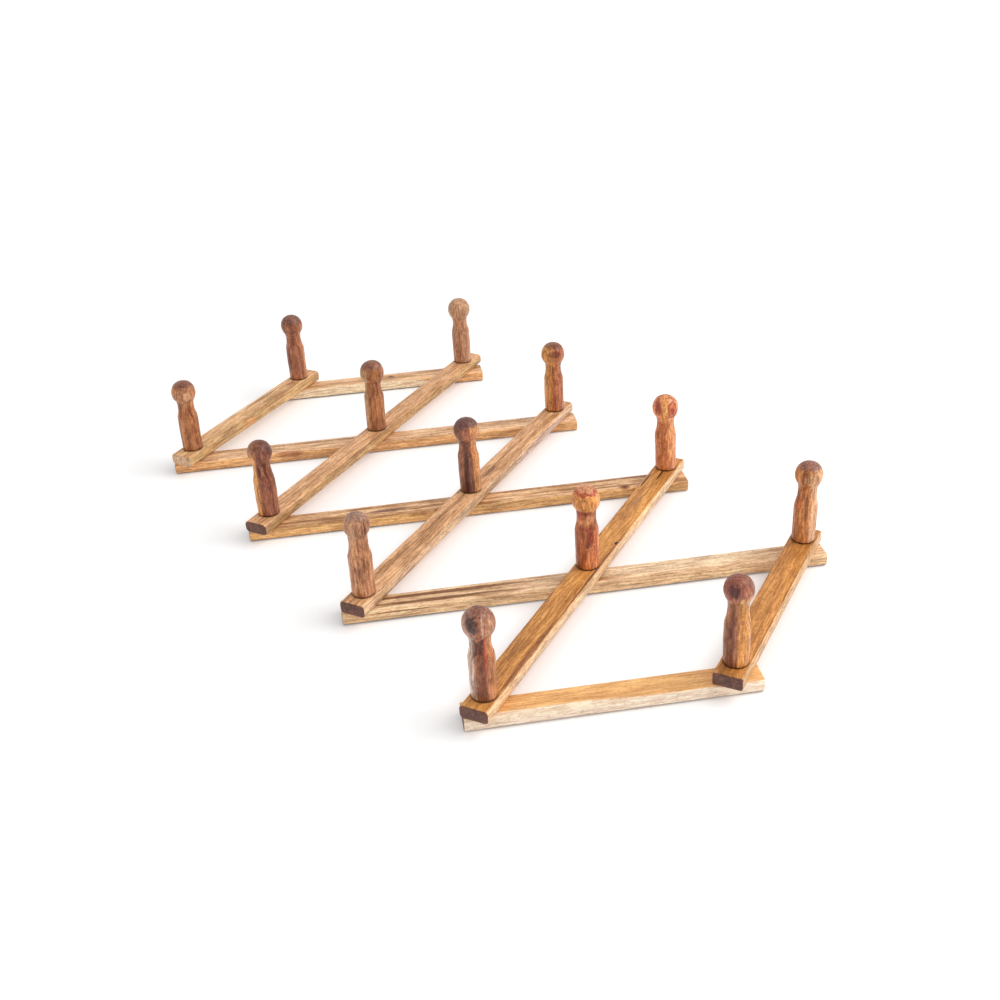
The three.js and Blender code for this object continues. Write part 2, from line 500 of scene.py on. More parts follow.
    def build_oil(self) -> bpy.types.NodeTree:
        """Shades a colour by its fibres and flecks, and gives its roughness and height."""
        sheet, given, made = self.open(
            "oiled_surface",
            {"Colour": "Color", "Fibre": "Float", "Flecks": "Float", "Depth": "Float",
             "Gloss": "Float"},
            {"Colour": "Color", "Roughness": "Float", "Height": "Float"},
        )
        plain, fibre, flecks, depth = (
            given[name] for name in ("Colour", "Fibre", "Flecks", "Depth"))
        soaked = sheet.mix(1.0, plain, self.SOAKED, "MULTIPLY")
        bright = sheet.vector("MULTIPLY", plain, self.BRIGHT)
        grained = sheet.mix(depth, plain, sheet.mix(fibre, soaked, bright))
        pore = sheet.mix(1.0, plain, self.PORE, "MULTIPLY")
        grained = sheet.mix(sheet.math("MULTIPLY", flecks, depth), grained, pore)
        sheet.feed(made["Colour"], sheet.vector("MINIMUM", grained, self.WHITEST))
        for name, base, by_flecks, by_fibre in (
                ("Roughness", given["Gloss"], self.PORE_ROUGHNESS, self.FIBRE_ROUGHNESS),
                ("Height", 1.0, self.PORE_HEIGHT, self.FIBRE_HEIGHT)):
            flecked = sheet.math("MULTIPLY_ADD", flecks, by_flecks, base)
            sheet.feed(made[name], sheet.math("MULTIPLY_ADD", fibre, by_fibre, flecked))
        return sheet.tree


class FinishShop:
    """Makes the materials of the rack from its finishes."""

    def __init__(self) -> None:
        """Builds the shared groups."""
        self.groups = GroupShop()

    def wood(self, name: str, finish: WoodFinish, seed: int, grain: Matrix,
             start: Vector) -> bpy.types.Material:
        """Makes one piece's wood.

        Args:
            name: the material's name.
            finish: its colours, rings and marks.
            seed: sets its noise apart from other pieces.
            grain: turns the grain's own axes to the frame's.
            start: where the grain's coordinates begin, in metres.

        Returns:
            The material.
        """
        material, sheet, shader = blank_material(name)
        place = sheet.add("ShaderNodeMapping", vector_type="TEXTURE")
        sheet.fill(place, {
            "Vector": sheet.add("ShaderNodeTexCoord").outputs["Object"], "Location": start,
            "Rotation": grain.to_euler("XYZ"), "Scale": Vector((MM, MM, MM))})
        point = place.outputs["Vector"]

        figure = sheet.group(
            self.groups.figure, point=point, seed=float(seed),
            ring_centre=(0.0, *finish.ring_centre), ring_gap=finish.ring_gap, wander=finish.wander,
            tilt=(0.0, *finish.tilt), stretch=(finish.shortness, 1.0, 1.0)).outputs
        tone = sheet.math("MULTIPLY", figure["Rings"], finish.ring_strength)
        tone = sheet.math("MULTIPLY_ADD", figure["Streaks"], finish.streak_strength, tone)
        patchy = sheet.math("SUBTRACT", figure["Mottle"], 0.5)
        tone = sheet.math("MULTIPLY_ADD", patchy, finish.mottle, tone, clamp=True)
        colour = sheet.mix(tone, finish.light, finish.dark)
        for mark in finish.marks:
            colour = self.marked(sheet, colour, tone, point, mark)

        oil = sheet.group(
            self.groups.oil, colour=colour, fibre=figure["Fibre"], flecks=figure["Flecks"],
            depth=finish.grain_depth, gloss=finish.gloss).outputs
        sheet.fill(shader, {"Base Color": oil["Colour"], "Roughness": oil["Roughness"],
                            "Specular IOR Level": finish.specular})
        sheet.emboss(shader, oil["Height"], finish.bump, finish.bump_depth)
        return material

    def marked(self, sheet: NodeSheet, colour: Socket, tone: Socket, point: Socket,
               mark: Patch | Split) -> Socket:
        """Lays one mark over a colour.

        Args:
            sheet: where the nodes go.
            colour: the colour under the mark.
            tone: the grain, which shows through the mark.
            point: the place in the grain, in millimetres.
            mark: what to lay.

        Returns:
            The marked colour.
        """
        shared = {"point": point, "soft": mark.soft, "wander": mark.wander}
        over = sheet.mix(tone, shaded(mark.colour, 1 + mark.figure / 2),
                         shaded(mark.colour, 1 - mark.figure))
        if isinstance(mark, Split):
            node = sheet.group(self.groups.split, side=mark.side, offset=mark.offset, **shared)
        else:
            node = sheet.group(self.groups.patch, centre=mark.centre, reach=mark.reach,
                               rings=mark.rings, **shared)
            if mark.ring_colour:
                over = sheet.mix(node.outputs["Swirl"], over, mark.ring_colour)
        factor = sheet.math("MULTIPLY", node.outputs["Mask"], mark.strength)
        return sheet.mix(factor, colour, over)

    def steel(self, name: str, finish: SteelFinish) -> bpy.types.Material:
        """Makes plated steel.

        Args:
            name: the material's name.
            finish: its colours, bloom and drawn lines.

        Returns:
            The material.
        """
        material, sheet, shader = blank_material(name)
        where = sheet.add("ShaderNodeTexCoord").outputs["Object"]
        bloom = sheet.noise(where, finish.bloom, 3.0, 0.6).outputs["Fac"]
        lines = sheet.noise(where, finish.lines, 1.0, 0.5).outputs["Fac"]
        sheet.fill(shader, {
            "Base Color": sheet.mix(bloom, finish.dull, finish.bright), "Metallic": 1.0,
            "Roughness": sheet.ramp(bloom, 0.3, 0.7, finish.smoothest, finish.roughest)})
        sheet.emboss(shader, lines, finish.bump, finish.bump_depth)
        return material


# ---------------------------------------------------------------- modelling by hand


@dataclass(frozen=True)
class Ring:
    """One ring of a turned piece, in metres."""

    radius: float
    height: float
    right: float = 0.0
    away: float = 0.0

    @property
    def middle(self) -> Vector:
        """The ring's middle."""
        return Vector((self.right, self.away, self.height))


HAIR = 1e-8


class Bench:
    """The moves of modelling by hand, each through Blender's own operators."""

    @staticmethod
    def clear() -> None:
        """Leaves edit mode and deselects everything."""
        if bpy.context.object and bpy.context.object.mode == "EDIT":
            bpy.ops.object.mode_set(mode="OBJECT")
        bpy.ops.object.select_all(action="DESELECT")

    @staticmethod
    def take(piece: bpy.types.Object) -> None:
        """Selects one piece and makes it the active one."""
        Bench.clear()
        piece.select_set(True)
        bpy.context.view_layer.objects.active = piece

    @staticmethod
    def edit(piece: bpy.types.Object) -> None:
        """Opens a piece in edit mode with nothing selected."""
        Bench.take(piece)
        bpy.ops.object.mode_set(mode="EDIT")
        bpy.ops.mesh.select_all(action="DESELECT")

    @staticmethod
    def pick_edges(piece: bpy.types.Object, test: Callable[[Vector, Vector], bool]) -> None:
        """Selects only the edges whose two ends pass a test, in edit mode.

        Args:
            piece: the piece, open in edit mode.
            test: says of two ends whether their edge is wanted.
        """
        bpy.ops.mesh.select_all(action="DESELECT")
        bpy.ops.mesh.select_mode(type="EDGE")
        shape = bmesh.from_edit_mesh(piece.data)
        for edge in shape.edges:
            edge.select_set(test(edge.verts[0].co, edge.verts[1].co))
        bmesh.update_edit_mesh(piece.data)

    @staticmethod
    def pick_faces(piece: bpy.types.Object, test: Callable[[Vector, Vector], bool]) -> None:
        """Selects only the faces whose middle and normal pass a test, in edit mode.

        Args:
            piece: the piece, open in edit mode.
            test: says of a middle and a normal whether the face is wanted.
        """
        bpy.ops.mesh.select_all(action="DESELECT")
        bpy.ops.mesh.select_mode(type="FACE")
        shape = bmesh.from_edit_mesh(piece.data)
        for face in shape.faces:
            face.select_set(test(face.calc_center_median(), face.normal))
        bmesh.update_edit_mesh(piece.data)

    @staticmethod
    def box(name: str, size: Triple, middle: Vector, turn: float = 0.0) -> bpy.types.Object:
        """Adds a box at its size and place.

        Args:
            name: the box's name.
            size: its length, width and height.
            middle: where its middle is.
            turn: how far it is turned about Z, in radians.

        Returns:
            The box.
        """
        Bench.clear()
        bpy.ops.mesh.primitive_cube_add(size=1, location=middle)
        box = bpy.context.object
        box.name = name
        box.scale = size
        box.rotation_euler = (0.0, 0.0, turn)
        bpy.ops.object.transform_apply(location=True, rotation=True, scale=True)
        return box

    @staticmethod
    def rod(radius: float, bottom: float, top: float, along: float,
            facets: int) -> bpy.types.Object:
        """Adds an upright cylinder.

        Args:
            radius: its radius.
            bottom: the height of its lower face.
            top: the height of its upper face.
            along: how far along X it stands.
            facets: its sides.

        Returns:
            The cylinder.
        """
        Bench.clear()
        bpy.ops.mesh.primitive_cylinder_add(
            vertices=facets, radius=radius, depth=top - bottom,
            location=(along, 0, (top + bottom) / 2))
        bpy.ops.object.transform_apply(location=True)
        return bpy.context.object

    @staticmethod
    def draw_out(ring: Ring, last: Ring) -> None:
        """Extrudes the selected face from one ring to the next, and opens or closes it.

        Args:
            ring: the ring that the face has now.
            last: the ring that it gets.
        """
        move = ring.middle - last.middle
        bpy.ops.mesh.extrude_region_move(TRANSFORM_OT_translate={"value": move})
        if ring.radius == 0:
            bpy.ops.mesh.merge(type="CENTER")
        elif abs(ring.radius - last.radius) > HAIR:
            factor = ring.radius / last.radius
            bpy.ops.transform.resize(value=(factor, factor, 1), center_override=ring.middle)

    @staticmethod
    def turned(name: str, rings: list[Ring], facets: int) -> bpy.types.Object:
        """Draws a round solid up from a disc, ring by ring.

        Args:
            name: the piece's name.
            rings: from the lowest up; a last one with no radius closes it.
            facets: sides of each ring.

        Returns:
            The piece, on the Z axis.
        """
        Bench.clear()
        bpy.ops.mesh.primitive_circle_add(
            vertices=facets, radius=rings[0].radius, fill_type="NGON", location=rings[0].middle)
        piece = bpy.context.object
        piece.name = name
        bpy.ops.object.transform_apply(location=True)
        bpy.ops.object.mode_set(mode="EDIT")
        bpy.ops.mesh.select_mode(type="FACE")
        bpy.ops.mesh.select_all(action="SELECT")
        for last, ring in zip(rings, rings[1:]):
            Bench.draw_out(ring, last)
        bpy.ops.mesh.select_all(action="SELECT")
        bpy.ops.mesh.normals_make_consistent(inside=False)
        bpy.ops.object.mode_set(mode="OBJECT")
        return piece

    @staticmethod
    def cut(piece: bpy.types.Object, cutter: bpy.types.Object) -> None:
        """Cuts one piece with another and throws the cutter away.

        Args:
            piece: what stays.
            cutter: what is taken away from it.
        """
        Bench.take(piece)
        modifier = piece.modifiers.new("cut", "BOOLEAN")
        modifier.operation = "DIFFERENCE"
        modifier.solver = "EXACT"
        modifier.object = cutter
        bpy.ops.object.modifier_apply(modifier=modifier.name)
        Bench.take(cutter)
        bpy.ops.object.delete()

    @staticmethod
    def settle(piece: bpy.types.Object, turn: float, place: Vector) -> None:
        """Turns a piece about Z, moves it to its place and keeps both in its mesh.

        Args:
            piece: the piece.
            turn: the angle about Z.
            place: where its own origin goes.
        """
        Bench.take(piece)
        piece.rotation_euler = (0.0, 0.0, turn)
        piece.location = place
        bpy.ops.object.transform_apply(location=True, rotation=True, scale=True)

    @staticmethod
    def roughen(piece: bpy.types.Object, amount: float, grain: float, group: str = "") -> None:
        """Moves the surface in and out a little, as hand work leaves it.

        Args:
            piece: the piece, already in its place.
            amount: the whole spread of the movement, in metres.
            grain: the size of its waves, in metres.
            group: the vertex group that it is kept to, if any.
        """
        Bench.take(piece)
        clouds = bpy.data.textures.new(f"{piece.name}_waves", "CLOUDS")
        clouds.noise_scale = grain
        modifier = piece.modifiers.new("waves", "DISPLACE")
        modifier.texture = clouds
        modifier.texture_coords = "LOCAL"
        modifier.strength = amount
        modifier.mid_level = 0.5
        modifier.vertex_group = group
        bpy.ops.object.modifier_apply(modifier=modifier.name)

    @staticmethod
    def copy(piece: bpy.types.Object, name: str) -> bpy.types.Object:
        """Copies a piece, with a mesh of its own.

        Args:
            piece: the piece to copy.
            name: the copy's name.

        Returns:
            The copy.
        """
        Bench.take(piece)
        bpy.ops.object.duplicate(linked=False)
        bpy.context.object.name = name
        return bpy.context.object

    @staticmethod
    def smooth(piece: bpy.types.Object, degrees: float) -> None:
        """Shades a piece smooth, apart from edges sharper than an angle."""
        Bench.take(piece)
        bpy.ops.object.shade_smooth_by_angle(angle=math.radians(degrees))


# ---------------------------------------------------------------- where things are


@dataclass(frozen=True)
class Fixing:
    """The sizes that the slats, pegs, washers and screws share, in metres."""

    hole_radius: float = 4.4 * MM
    pocket_radius: float = 6.3 * MM
    pocket_depth: float = 4.5 * MM
    tenon_radius: float = 4.0 * MM
    pilot_radius: float = 2.05 * MM
    pilot_depth: float = 14.0 * MM


FIXING = Fixing()
NEAR = 1e-6
PEG_COUNT = 13
SLATS_IN_A_LAYER = 5
FIRST_PEG_SEED = 20


def pivot(number: int) -> Vector:
    """The place of a pivot on the floor, from its CAD peg."""
    low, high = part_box(f"peg_{number}")
    return Vector(((low[0] + high[0]) / 2, (low[1] + high[1]) / 2, 0.0))


def body_of(node: str) -> str:
    """The body that a CAD node belongs to."""
    bodies = frame["record"]["behaviour"]["bodies"]
    return next(body for body, nodes in bodies.items() if node in nodes)


def stand_for(piece: bpy.types.Object, node: str, material: bpy.types.Material) -> None:
    """Puts a finished piece in a CAD node's stead.

    Args:
        piece: the finished piece.
        node: the CAD node.
        material: the piece's finish.
    """
    piece.data.materials.clear()
    piece.data.materials.append(material)
    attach(piece, body_of(node))
    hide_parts(node)
    log.info("%s: %d faces, rides on %s", piece.name, len(piece.data.polygons), body_of(node))


# ---------------------------------------------------------------- slats


class Layer(Enum):
    """Which of the two layers a slat is in."""

    FRONT = "front_slat_wood"
    REAR = "rear_slat_wood"


@dataclass
class Slat:
    """One slat, from its first pivot to its last."""

    number: int
    layer: Layer
    pivots: tuple[int, ...]
    finish: WoodFinish
    overhangs: tuple[float, float] = (17.0, 17.0)
    edge_radius: float = 2.6 * MM
    width: float = 20.0 * MM
    rim_ease: float = 0.8 * MM
    edge_rows: int = 6
    rim_rows: int = 3
    bore_facets: int = 48
    station_gap: float = 18.0 * MM
    waves: float = 0.16 * MM
    wave_length: float = 40 * MM
    smooth_below: float = 28.0

    @property
    def node(self) -> str:
        """The CAD node that this slat stands for."""
        return f"{self.layer.name.lower()}_slat_{self.number}"

    @property
    def seed(self) -> int:
        """Sets its grain apart from the other slats'."""
        return self.number + (SLATS_IN_A_LAYER if self.layer is Layer.REAR else 0)

    @property
    def thickness(self) -> float:
        """Its thickness, from its CAD node."""
        low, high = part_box(self.node)
        return high[2] - low[2]

    @property
    def pivots_along(self) -> list[float]:
        """How far each of its pivots is from the first."""
        return [(pivot(number) - pivot(self.pivots[0])).length for number in self.pivots]

    def shape(self) -> bpy.types.Object:
        """Models the slat along X, with its first pivot over the origin and its back at zero.

        Returns:
            The slat, bored and eased.
        """
        reach = self.pivots_along[-1]
        start, end = -self.overhangs[0] * MM, reach + self.overhangs[1] * MM
        middle = Vector(((start + end) / 2, 0, self.thickness / 2))
        slat = Bench.box(f"{self.node}_fine", (end - start, self.width, self.thickness), middle)

        Bench.edit(slat)
        Bench.pick_edges(slat, lambda a, b: abs(a.x - b.x) > reach / 2)
        bpy.ops.mesh.bevel(offset=self.edge_radius, segments=self.edge_rows, profile=0.5)
        for x in (start, end):
            Bench.pick_edges(slat, lambda a, b, x=x: max(abs(a.x - x), abs(b.x - x)) < NEAR)
            bpy.ops.mesh.bevel(offset=self.rim_ease, segments=self.rim_rows, profile=0.5)
        for share in steps(int((end - start) / self.station_gap))[:-1]:
            bpy.ops.mesh.select_all(action="SELECT")
            x = start + (end - start) * share
            bpy.ops.mesh.bisect(plane_co=(x, 0, 0), plane_no=(1, 0, 0))
        bpy.ops.object.mode_set(mode="OBJECT")
        for along in self.pivots_along:
            self.bore(slat, along)
        return slat

    def bore(self, slat: bpy.types.Object, along: float) -> None:
        """Bores one pivot, with a pocket for its washer in a rear slat.

        Args:
            slat: the slat to bore.
            along: how far the pivot is from the first one.
        """
        bores = [(FIXING.hole_radius, self.thickness * 2)]
        if self.layer is Layer.REAR:
            bores.append((FIXING.pocket_radius, FIXING.pocket_depth))
        for radius, top in bores:
            Bench.cut(slat, Bench.rod(radius, -self.thickness, top, along, self.bore_facets))

    def painted_peg_shadows(self) -> tuple[Mark, ...]:
        """Painted shadow: a dark ring on the slat round each peg's foot."""
        return tuple(Patch((along / MM, 0.0, self.thickness / MM), (9.3, 9.3, 4.0), DARK_MARK_AND_SHADE, soft=0.14,
                           wander=0.08, strength=0.7) for along in self.pivots_along)

    def build(self, shop: FinishShop) -> bpy.types.Object:
        """Models, places and dresses the slat.

        Args:
            shop: makes its finish.

        Returns:
            The finished slat.
        """
        slat = self.shape()
        first = pivot(self.pivots[0])
        run = pivot(self.pivots[-1]) - first
        turn = math.atan2(run.y, run.x)
        place = Vector((first.x, first.y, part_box(self.node)[0][2]))
        Bench.settle(slat, turn, place)
        Bench.roughen(slat, self.waves, self.wave_length)
        Bench.smooth(slat, self.smooth_below)
        finish = self.finish
        # the front slats get a painted shadow round the foot of each peg they carry
        if self.layer is Layer.FRONT:
            finish = finish.with_marks(*self.painted_peg_shadows())
        grain = Matrix.Rotation(turn, 3, "Z")
        material = shop.wood(f"{self.node}_wood", finish, self.seed, grain, place)
        stand_for(slat, self.node, material)
        return slat


# ---------------------------------------------------------------- pegs


@dataclass(frozen=True)
class PegForm:
    """The turned shape that all the pegs share, in metres, with heights above the foot."""

    height: float = 63.6 * MM
    foot_radius: float = 8.25 * MM
    foot_ease: float = 0.5 * MM
    belly: float = 0.12 * MM
    shoulder_radius: float = 8.45 * MM
    shoulder_pull: float = 0.26
    neck_radius: float = 6.72 * MM
    neck_height: float = 40.3 * MM
    neck_pull: float = 0.50
    cove_bulge: float = 0.15
    join: float = -0.78
    fullness: float = 0.85
    body_steps: int = 8
    neck_steps: int = 9
    cove_steps: int = 5
    head_steps: int = 16
    facets: int = 56
    shiver: float = 0.10 * MM
    steady_share: float = 0.25
    waves: float = 0.45 * MM
    wave_length: float = 16 * MM
    smooth_foot: float = 3 * MM
    smooth_below: float = 40.0


@dataclass
class Peg:
    """One turned peg with its tenon, standing on a pivot.

    Its turn is in degrees. Its lean to the right at the crown, its head's width, how far it falls
    short of the others and its shoulder's height are in millimetres.
    """

    number: int
    finish: WoodFinish
    turn: float
    lean: float = 0.0
    head: float = 20.0
    short: float = 0.0
    shoulder: float = 29.3
    form: PegForm = PegForm()
    HAND_TURNED: ClassVar[str] = "turned"

    @property
    def node(self) -> str:
        """The CAD node that this peg stands for."""
        return f"peg_{self.number}"

    @property
    def foot(self) -> float:
        """The height of its foot, on the front slat."""
        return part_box(self.node)[1][2] - self.form.height

    def outline(self) -> list[tuple[float, float]]:
        """Works out the peg's outline, from the end of its tenon to its crown.

        Returns:
            The radius and height of each ring.
        """
        form, foot, tenon_end = self.form, self.foot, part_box(self.node)[0][2]
        ease, shoulder, head = form.foot_ease, self.shoulder * MM, self.head / 2 * MM
        rings = [
            (FIXING.tenon_radius - ease, tenon_end),
            (FIXING.tenon_radius, tenon_end + ease),
            (FIXING.tenon_radius, foot),
            (form.foot_radius - ease, foot),
            (form.foot_radius - 0.25 * ease, foot + 0.35 * ease),
            (form.foot_radius, foot + ease),
        ]
        for share in steps(form.body_steps):
            radius = form.foot_radius + (form.shoulder_radius - form.foot_radius) * share
            rings.append((radius + math.sin(share * math.pi) * form.belly,
                          foot + ease + (shoulder - ease) * share))
        rise = form.neck_height - shoulder
        for share in steps(form.neck_steps):
            early, late = 3 * (1 - share) ** 2 * share, 3 * (1 - share) * share**2
            height = early * form.shoulder_pull + late * (1 - form.neck_pull) + share**3
            radius = (((1 - share) ** 3 + early) * form.shoulder_radius
                      + (late + share**3) * form.neck_radius)
            rings.append((radius, foot + shoulder + rise * height))
        middle = foot + form.height - self.short * MM - head
        join_radius = head * math.cos(form.join) ** form.fullness
        neck_top, join_height = foot + form.neck_height, middle + head * math.sin(form.join)
        for share in steps(form.cove_steps):
            radius = form.neck_radius + (join_radius - form.neck_radius) * share**2
            climb = share * (1 + form.cove_bulge) - form.cove_bulge * share**2
            rings.append((radius, neck_top + (join_height - neck_top) * climb))
        for share in steps(form.head_steps):
            angle = form.join + (math.pi / 2 - form.join) * share
            radius = head * math.cos(angle) ** form.fullness if share < 1 else 0.0
            rings.append((radius, middle + head * math.sin(angle)))
        return rings

    def profile(self) -> list[Ring]:
        """The rings of the peg, moved over by its lean and a little out of true.

        Returns:
            The rings from the foot to the crown.
        """
        wobble = random.Random(self.number)
        turned = []
        for radius, height in self.outline():
            share = max(0.0, (height - self.foot) / self.form.height)
            shiver = min(share / self.form.steady_share, 1.0) * self.form.shiver
            turned.append(Ring(radius + (radius > 0) * wobble.uniform(-shiver, shiver) / 2, height,
                               self.lean * MM * share + wobble.uniform(-shiver, shiver),
                               wobble.uniform(-shiver, shiver)))
        return turned

    def shape(self) -> bpy.types.Object:
        """Models the peg on the Z axis, at its own height, with a pilot hole up its tenon.

        Returns:
            The peg.
        """
        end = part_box(self.node)[0][2]
        peg = Bench.turned(f"{self.node}_fine", self.profile(), self.form.facets)
        Bench.edit(peg)
        Bench.pick_faces(peg, lambda middle, normal: normal.z < -0.9 and middle.z < end + NEAR)
        rim = FIXING.tenon_radius - self.form.foot_ease - FIXING.pilot_radius
        bpy.ops.mesh.inset(thickness=rim)
        bpy.ops.mesh.extrude_region_move(
            TRANSFORM_OT_translate={"value": (0, 0, FIXING.pilot_depth)})
        bpy.ops.object.mode_set(mode="OBJECT")
        group = peg.vertex_groups.new(name=self.HAND_TURNED)
        clear_of_foot = self.foot + self.form.smooth_foot
        above = [point.index for point in peg.data.vertices if point.co.z > clear_of_foot]
        group.add(above, 1.0, "REPLACE")
        return peg

    def build(self, shop: FinishShop) -> bpy.types.Object:
        """Models, places and dresses the peg.

        Args:
            shop: makes its finish.

        Returns:
            The finished peg.
        """
        peg = self.shape()
        turn = math.radians(self.turn)
        Bench.settle(peg, turn, pivot(self.number))
        Bench.roughen(peg, self.form.waves, self.form.wave_length, self.HAND_TURNED)
        Bench.smooth(peg, self.form.smooth_below)
        right = Vector((math.cos(turn), math.sin(turn), 0.0))
        up = Vector((0.0, 0.0, 1.0))
        grain = Matrix((up, right, up.cross(right))).transposed()
        start = pivot(self.number) + up * self.foot
        seed = FIRST_PEG_SEED + self.number
        material = shop.wood(f"{self.node}_wood", self.finish, seed, grain, start)
        stand_for(peg, self.node, material)
        return peg


# ---------------------------------------------------------------- washers and screws


@dataclass
class WasherAndScrew:
    """The fixing under each pivot, modelled once and copied to all of them."""

    washer_facets: int = 40
    washer_radius: float = 5.5 * MM
    washer_hole: float = 2.1 * MM
    washer_ease: float = 0.18 * MM
    screw_facets: int = 24
    head_radius: float = 3.5 * MM
    head_height: float = 2.1 * MM
    shank_radius: float = 1.75 * MM
    thread_depth: float = 0.35 * MM
    thread_pitch: float = 1.3 * MM
    thread_shares: Triple = (0.8, 1.25, 1.42)
    crown_share: float = 0.62
    crown_rise: float = 0.7
    crown_steps: int = 4
    tip_length: float = 3.0 * MM
    slot_width: float = 0.9 * MM
    slot_length: float = 4.2 * MM
    slot_depth: float = 1.1 * MM
    slot_taper: float = 0.55
    turn_between: float = 47.0
    smooth_below: float = 35.0

    def washer(self) -> bpy.types.Object:
        """Models a washer on the Z axis, from a disc whose two faces are bridged.

        Returns:
            The washer.
        """
        low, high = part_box("washer_7")
        washer = Bench.rod(self.washer_radius, low[2], high[2], 0.0, self.washer_facets)
        Bench.edit(washer)
        Bench.pick_faces(washer, lambda middle, normal: abs(normal.z) > 0.9)
        bpy.ops.mesh.inset(thickness=self.washer_radius - self.washer_hole, use_individual=True)
        bpy.ops.mesh.bridge_edge_loops()
        rim = self.washer_radius - self.washer_ease
        Bench.pick_edges(washer, lambda a, b: abs(a.z - b.z) < NEAR and min(
            a.xy.length, b.xy.length) > rim)
        bpy.ops.mesh.bevel(offset=self.washer_ease, segments=2)
        bpy.ops.mesh.select_all(action="SELECT")
        bpy.ops.mesh.normals_make_consistent(inside=False)
        Bench.smooth(washer, self.smooth_below)
        return washer

    def screw(self) -> bpy.types.Object:
        """Models a pan-head wood screw on the Z axis, head down, with a cross in its head.

        Returns:
            The screw.
        """
        low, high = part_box("screw_7")
        seat = low[2] + self.head_height
        rings = [(self.head_radius * self.crown_share, low[2])]
        for share in steps(self.crown_steps):
            angle = math.pi / 2 * share
            spread = self.crown_share + (1 - self.crown_share) * math.sin(angle)
            rings.append((self.head_radius * spread,
                          low[2] + self.head_height * self.crown_rise * (1 - math.cos(angle))))
        rings += [(self.head_radius, seat), (self.shank_radius, seat)]
        root = self.shank_radius - self.thread_depth
        threads = int((high[2] - seat - self.tip_length) / self.thread_pitch) - 1
        for turn in range(threads):
            rings += [(radius, seat + (turn + share) * self.thread_pitch) for radius, share in
                      zip((root, root, self.shank_radius), self.thread_shares)]
        rings += [(root, high[2] - self.tip_length), (0.0, high[2])]
        pattern = [Ring(*ring) for ring in rings]
        screw = Bench.turned("screw_pattern", pattern, self.screw_facets)
        size = (self.slot_length, self.slot_width, 2 * self.slot_depth)
        for turn in (0.0, math.pi / 2):
            slot = Bench.box("slot", size, Vector((0, 0, low[2])), turn)
            Bench.edit(slot)
            Bench.pick_faces(slot, lambda middle, normal: normal.z > 0.9)
            bpy.ops.transform.resize(value=(self.slot_taper, self.slot_taper, 1))
            bpy.ops.object.mode_set(mode="OBJECT")
            Bench.cut(screw, slot)
        Bench.smooth(screw, self.smooth_below)
        return screw

    def build(self, shop: FinishShop) -> None:
        """Puts a washer and a screw under every pivot.

        Args:
            shop: makes their finish.
        """
        steel = shop.steel("plated_steel", SteelFinish())
        patterns = {"washer": self.washer(), "screw": self.screw()}
        for kind, pattern in patterns.items():
            for number in range(1, PEG_COUNT + 1):
                node = f"{kind}_{number}"
                piece = Bench.copy(pattern, f"{node}_fine")
                Bench.settle(piece, math.radians(number * self.turn_between), pivot(number))
                stand_for(piece, node, steel)
            Bench.take(pattern)
            bpy.ops.object.delete()


# ---------------------------------------------------------------- the rack's own wood


# A near-black brown, for dark marks in the wood and for painted shadows.
DARK_MARK_AND_SHADE = (0.055, 0.022, 0.012)
BARK = (0.115, 0.045, 0.028)
# end grain darkened partly with painted shade, for slat ends that face away from the lamp
SHADED_END_GRAIN = (0.15, 0.065, 0.045)
HALF_WIDTH = 10.0


def near_side(colour: Colour, **more: object) -> Mark:
    """The wood of a slat's edge that faces the camera's side, where it differs from its top."""
    return Split((0.0, -1.0, 0.0), HALF_WIDTH - 0.9, colour, soft=0.5, wander=0.15, **more)


def shaded_near_end(overhang: float, colour: Colour = SHADED_END_GRAIN, **more: object) -> Mark:
    """The end grain of a slat's first end, in a darker colour that is partly painted shade."""
    return Split((-1.0, 0.0, 0.0), overhang - 0.3, colour, soft=0.2, wander=0.04, **more)


def painted_foot_shadow() -> Mark:
    """Painted shadow: a dark band round a peg's foot, where it stands on its slat."""
    return Split((-1.0, 0.0, 0.0), -0.7, DARK_MARK_AND_SHADE, soft=0.6, wander=0.1, strength=0.85)


def painted_contact_shadow(strength: float = 0.75) -> Mark:
    """A painted contact shadow: a dark band along the lowest edge of a slat that lies on its back.
    """
    return Split((0.0, -0.2, -1.0), 0.7, DARK_MARK_AND_SHADE, soft=0.35, wander=0.25, strength=strength)


def cap(height: float, colour: Colour, soft: float = 1.6, **more: object) -> Mark:
    """The end grain on the crown of a peg."""
    return Split((1.0, 0.0, 0.0), height, colour, soft=soft, **more)


